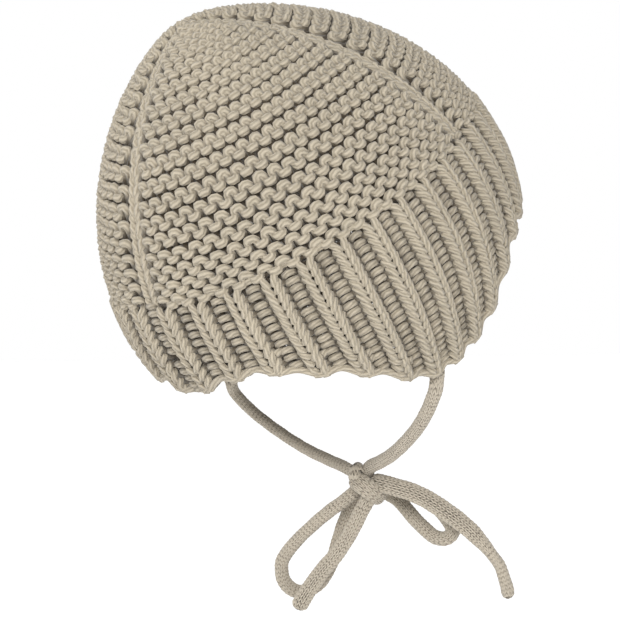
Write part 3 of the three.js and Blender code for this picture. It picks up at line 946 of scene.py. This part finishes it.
# %% Wind knitting round a route
CORD_WALES = 11                    # stitches round
CORD_ROW = 0.0016                  # length of a row
CORD_LOOP = 1.85                   # height of a loop, in rows
CORD_LEAN = 0.28
CORD_LEG = 0.9
CORD_SAMPLES = 8
CORD_MIDDLE = 0.0024               # radius at which the yarn lies
CORD_REACH = 0.00022               # how far it weaves in and out
CORD_YARN = 0.00035                # radius of the yarn
CORD_SIDES = 4
CORD_UNEVEN = 0.05                 # how much it varies in width
CORE_RADIUS = 0.0019
CORE_SIDES = 8
CORE_EVERY = 4                     # the core takes every fourth point of the route
CORE_INSETS = (1, 6)               # points that the core stops short of a hidden and a bare end
TIP_ROUND = 0.0022                 # length over which a bare end closes


def carried_frame(points):
    """Tangent and two side directions that turn as little as they can along the points."""
    tangent = np.gradient(points, axis=0)
    tangent /= np.linalg.norm(tangent, axis=1, keepdims=True)
    side = np.cross(tangent[0], (0.0, 0.0, 1.0))
    if np.linalg.norm(side) < 0.1:
        side = np.cross(tangent[0], (1.0, 0.0, 0.0))
    sides = []
    for t in tangent:
        side = side - t * np.dot(side, t)
        side = side / np.linalg.norm(side)
        sides.append(side)
    sides = np.array(sides)
    return tangent, sides, np.cross(tangent, sides)


def flattened(offset, width):
    """Offsets from a cord's middle, made wide across the view and thin towards it."""
    facing = np.array(FACING)
    towards = offset @ facing
    wide = offset * width[:, None]
    return wide + facing * (towards * (FLAT_AREA / width - width))[:, None]


def cord_lines(points, length, widths, bare_end):
    """Spiral of stitches round a cord's centreline."""
    _, side, up_way = carried_frame(points)
    at = np.linspace(0, length, len(points))
    count = int(length / CORD_ROW * CORD_WALES)
    stitch = np.arange(count)
    face = np.full(count, KNIT)
    across, up, out = yarn_loops(
        face=face, above=face, lean=np.full(count, CORD_LEAN), reach=np.full(count, CORD_REACH),
        leg=np.full(count, CORD_LEG), closed=False, samples=CORD_SAMPLES)
    place = ((stitch[:, None] + across) / CORD_WALES).reshape(-1)
    ahead = np.clip((place + CORD_LOOP * up.reshape(-1)) * CORD_ROW, 0, length)
    radius = CORD_MIDDLE + out.reshape(-1)
    if bare_end:
        left = np.clip((length - ahead) / TIP_ROUND, 0, 1)
        radius = radius * np.sqrt(1 - (1 - left) ** 2)
    turn = 2 * np.pi * place
    centre = np.stack([np.interp(ahead, at, points[:, k]) for k in range(3)], axis=1)
    across_way = np.stack([np.interp(ahead, at, side[:, k]) for k in range(3)], axis=1)
    other_way = np.stack([np.interp(ahead, at, up_way[:, k]) for k in range(3)], axis=1)
    offset = ((radius * np.cos(turn))[:, None] * across_way
              + (radius * np.sin(turn))[:, None] * other_way)
    width = np.interp(ahead / length, np.linspace(0, 1, len(widths)), widths)
    # How far out the yarn lies, which gives painted shade at the loops' heads and feet, the dark
    # dots between the stitches.
    return centre + flattened(offset, width), False, out.reshape(-1) / CORD_REACH


def core_mesh(piece, points, length, widths):
    """Flatten the plain core of a cord as its knitting is flattened."""
    at = np.linspace(0, length, len(points))
    places = np.array([v.co for v in piece.data.vertices])
    nearest = np.array([np.argmin(np.sum((points - place) ** 2, axis=1)) for place in places])
    width = np.interp(at[nearest] / length, np.linspace(0, 1, len(widths)), widths)
    flat = points[nearest] + flattened(places - points[nearest], width)
    piece.data.vertices.foreach_set("co", flat.reshape(-1))


def join(piece, *others):
    """Make the others part of the piece, keeping their materials."""
    with bpy.context.temp_override(active_object=piece, object=piece,
                                   selected_objects=[piece, *others],
                                   selected_editable_objects=[piece, *others]):
        bpy.ops.object.join()
    return piece


def knitted_cord(name, points, length, widths, bare_end):
    piece = knit(name, [cord_lines(points, length, widths, bare_end)], CORD_YARN, CORD_SIDES,
                 cord_yarn, thick_thin=CORD_UNEVEN)
    # The core's dark colour is painted shade, the shadow inside the tube.
    middle = points[1:-CORE_INSETS[bare_end]:CORE_EVERY]
    core = knit(name + "_core", [(middle, False, np.ones(len(middle)))], CORE_RADIUS, CORE_SIDES,
                shade_core_yarn, thick_thin=0.0)
    core_mesh(core, points, length, widths)
    return join(piece, core)


# %% Trim the routes to the knot and knit the cords
KNOT_CENTRE = np.array((0.0367, 0, -0.1702))
KNOT_HALF = np.array((0.0062, 0.0062, 0.0072))
KNOT_TRIM = 0.55                   # cords end this share of the way out from the knot's centre


def outside_knot(points):
    """The stretch of a route that lies outside the knot, with a little of it inside."""
    inside = np.linalg.norm((points - KNOT_CENTRE) / (KNOT_HALF * KNOT_TRIM), axis=1) < 1
    return points[~inside]


END_NAMES = ("tie_end_right", "tie_end_left")
cords = {}
for name, (points, _) in curves.items():
    points = outside_knot(points)
    length = float(np.linalg.norm(np.diff(points, axis=0), axis=1).sum())
    piece = knitted_cord(name + "_knit", points, length, CORD_WIDTHS[name], name in END_NAMES)
    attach(piece, "root")
    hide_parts(name)
    cords[name] = (piece, points, length)

# %% [markdown]
# ## The knot
# A broad wrap of cord runs over the bow from upper left to lower right. Above it on the left a
# second, narrow wrap holds the two ties together. A true knot can't be followed in a picture, so
# each wrap is a short helix of the same knitted cord, and its ends are hidden inside the bow.

# %% Wraps of the knot
WRAP_POINTS = 60


def wrap_route(centre, half_along, half_round, half_deep, slant, turns):
    """Helix of cord in the picture's plane, whose axis points up by the slant."""
    axis_x = np.array((math.cos(CAMERA_AZIMUTH), math.sin(CAMERA_AZIMUTH), 0))
    axis_y = np.array((-math.sin(CAMERA_AZIMUTH), math.cos(CAMERA_AZIMUTH), 0))
    axis_z = np.array((0.0, 0.0, 1.0))
    along = axis_x * math.cos(slant) + axis_z * math.sin(slant)
    across = -axis_x * math.sin(slant) + axis_z * math.cos(slant)
    s = np.linspace(0, 1, WRAP_POINTS)
    angle = 2 * np.pi * turns * s
    points = (centre + along * ((s - 0.5) * 2 * half_along)[:, None]
              + across * (half_round * np.cos(angle))[:, None]
              - axis_y * (half_deep * np.sin(angle))[:, None])
    return smooth_route(points)


BODY_WRAP = {"centre": KNOT_CENTRE + np.array((-0.0015, -0.002, -0.0015)), "half_along": 0.0012,
             "half_round": 0.0048, "half_deep": 0.0053, "slant": math.radians(50), "turns": 1.5}
TIE_WRAP = {"centre": np.array((0.031, -0.0003, -0.166)), "half_along": 0.0006,
            "half_round": 0.0019, "half_deep": 0.0026, "slant": math.radians(-12), "turns": 1.2}
WRAP_WIDTHS = (1.0, 1.0)
TIE_WRAP_WIDTHS = (0.78, 0.78)

body_points, body_length = wrap_route(**BODY_WRAP)
tie_wrap_points, tie_wrap_length = wrap_route(**TIE_WRAP)
knot = join(knitted_cord("bow_knot_wraps", body_points, body_length, WRAP_WIDTHS, False),
            knitted_cord("tie_wrap", tie_wrap_points, tie_wrap_length, TIE_WRAP_WIDTHS, False))
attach(knot, "root")
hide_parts("bow_knot")

# %% [markdown]
# ## Cord lengths
# The length of each cord is printed. A free end is bare, and the other ends meet in the knot.


for name, (piece, points, length) in cords.items():
    print(name, "length, mm", round(length * 1000, 1))

# %% [markdown]
# ## Floor and light
# The bonnet hangs as it is worn, over a plain pale floor. Lamps alone would leave hard shadows
# between the stitches. So white light comes from all round, less of it from above on the right, and
# one weak lamp beside the camera lifts the ridges.

# %% Floor
FLOOR_DROP = 0.08
FLOOR_SIZE = 80.0
FLOOR_GREY = 0.95
FLOOR_ROUGHNESS = 0.9
FLOOR_GLOW = 0.35                  # keeps it pale right to the horizon
floor_material = bpy.data.materials.new("pale_floor")
floor_material.use_nodes = True
floor_shader = floor_material.node_tree.nodes["Principled BSDF"]
floor_shader.inputs["Base Color"].default_value = (FLOOR_GREY, FLOOR_GREY, FLOOR_GREY, 1)
floor_shader.inputs["Roughness"].default_value = FLOOR_ROUGHNESS
floor_shader.inputs["Emission Color"].default_value = (1, 1, 1, 1)
floor_shader.inputs["Emission Strength"].default_value = FLOOR_GLOW
half = FLOOR_SIZE / 2
floor_level = cad_box[0][2] - FLOOR_DROP
floor_mesh = bpy.data.meshes.new("floor")
floor_mesh.from_pydata([(-half, -half, floor_level), (half, -half, floor_level),
                        (half, half, floor_level), (-half, half, floor_level)], [], [(0, 1, 2, 3)])
floor_mesh.materials.append(floor_material)
floor = bpy.data.objects.new("floor", floor_mesh)
bpy.context.scene.collection.objects.link(floor)
print("floor level, m", round(floor_level, 4))

# %% Light
SHADED_SIDE = Vector((0.57, -0.41, 0.71))   # up and to the right, where less light comes from
SHADE_EDGES = (0.2, 0.9)           # where the dimming starts and ends, 1 being the shaded side
SKY_STRENGTHS = (1.06, 0.4)        # light from the open and from the shaded side
bpy.context.scene.view_settings.view_transform = "Standard"
world = bpy.data.worlds.new("soft_white")
bpy.context.scene.world = world
world.use_nodes = True
world_nodes, world_links = world.node_tree.nodes, world.node_tree.links
world_nodes["Background"].inputs["Color"].default_value = (1, 1, 1, 1)
sky_way = world_nodes.new("ShaderNodeTexCoord")
shaded_way = world_nodes.new("ShaderNodeVectorMath")
shaded_way.operation = "DOT_PRODUCT"
shaded_way.inputs[1].default_value = SHADED_SIDE
dimming = world_nodes.new("ShaderNodeMapRange")
dimming.interpolation_type = "SMOOTHSTEP"
dimming.inputs["From Min"].default_value = SHADE_EDGES[0]
dimming.inputs["From Max"].default_value = SHADE_EDGES[1]
dimming.inputs["To Min"].default_value = SKY_STRENGTHS[0]
dimming.inputs["To Max"].default_value = SKY_STRENGTHS[1]
world_links.new(sky_way.outputs["Generated"], shaded_way.inputs[0])
world_links.new(shaded_way.outputs["Value"], dimming.inputs["Value"])
# What the camera sees directly stays plain white; only the light on the bonnet is dimmed.
ray = world_nodes.new("ShaderNodeLightPath")
backdrop = world_nodes.new("ShaderNodeMix")
backdrop.inputs["B"].default_value = 1.0
world_links.new(ray.outputs["Is Camera Ray"], backdrop.inputs["Factor"])
world_links.new(dimming.outputs["Result"], backdrop.inputs["A"])
world_links.new(backdrop.outputs["Result"], world_nodes["Background"].inputs["Strength"])


def soft_light(name, place, size, power):
    data = bpy.data.lights.new(name, "AREA")
    data.shape = "DISK"
    data.size = size
    data.energy = power
    light = bpy.data.objects.new(name, data)
    light.location = place
    light.rotation_euler = (Vector(place) - CAMERA_TARGET).to_track_quat("Z", "Y").to_euler()
    bpy.context.scene.collection.objects.link(light)


KEY_PLACE = (-0.75, -1.0, 0.4)
KEY_SIZE = 0.6
KEY_WATTS = 12
soft_light("key", KEY_PLACE, KEY_SIZE, KEY_WATTS)
